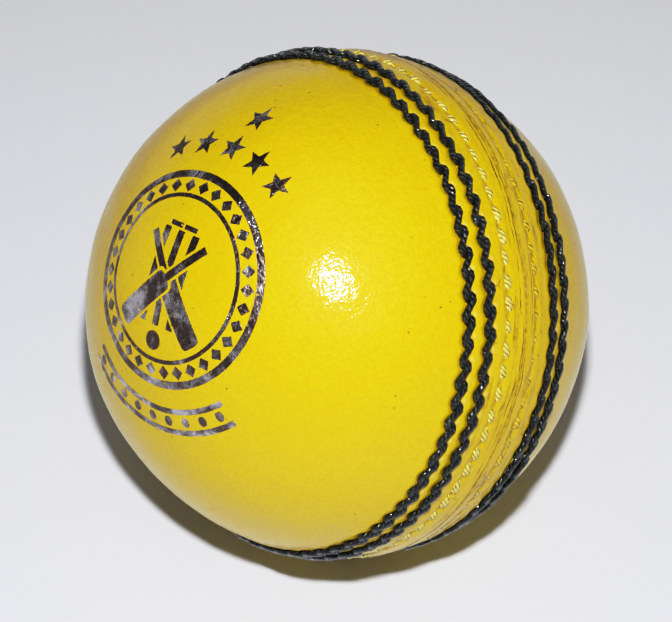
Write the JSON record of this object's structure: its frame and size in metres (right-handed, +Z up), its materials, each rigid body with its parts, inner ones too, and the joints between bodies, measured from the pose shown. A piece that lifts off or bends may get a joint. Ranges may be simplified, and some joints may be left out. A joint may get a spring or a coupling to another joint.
{
  "type": "cricket ball",
  "caption": "Cricket ball with a yellow leather cover sewn from halves, a raised seam of black and yellow stitching, a foil stamp, and a wound core of cork and yarn.",
  "frame": {"origin": "the ball's centre", "axes": "+Z up with the ball as it comes to rest; the seam axis lies in the XZ plane, 30 degrees above the horizontal, pointing towards -X at the stamped pole; Y lies in the seam plane"},
  "size_m": [0.072, 0.0728, 0.072],
  "materials": {
    "yellow_leather": "dyed, lacquered and polished",
    "black_thread": "waxed linen thread",
    "closing_thread": "waxed linen thread under lacquer",
    "stamping_foil": "hot-stamped metallic foil",
    "cork": "thin natural cork strip",
    "yarn": "worsted yarn wound under tension",
    "cork_rubber": "moulded cork granules in rubber"
  },
  "bodies": {
    "root": {"nucleus": "cork_rubber", "cork_layer_1": "cork", "cork_layer_2": "cork", "cork_layer_3": "cork", "cork_layer_4": "cork", "cork_layer_5": "cork", "yarn_winding_1": "yarn", "yarn_winding_2": "yarn", "yarn_winding_3": "yarn", "yarn_winding_4": "yarn", "yarn_winding_5": "yarn", "stamped_cup": "yellow_leather", "plain_cup": "yellow_leather", "stamped_closing_stitches": "closing_thread", "plain_closing_stitches": "closing_thread", "closing_passes": "closing_thread", "stamped_inner_stitches": "black_thread", "stamped_outer_stitches": "black_thread", "plain_inner_stitches": "black_thread", "plain_outer_stitches": "black_thread", "foil_stamp": "stamping_foil"}
  },
  "joints": []
}
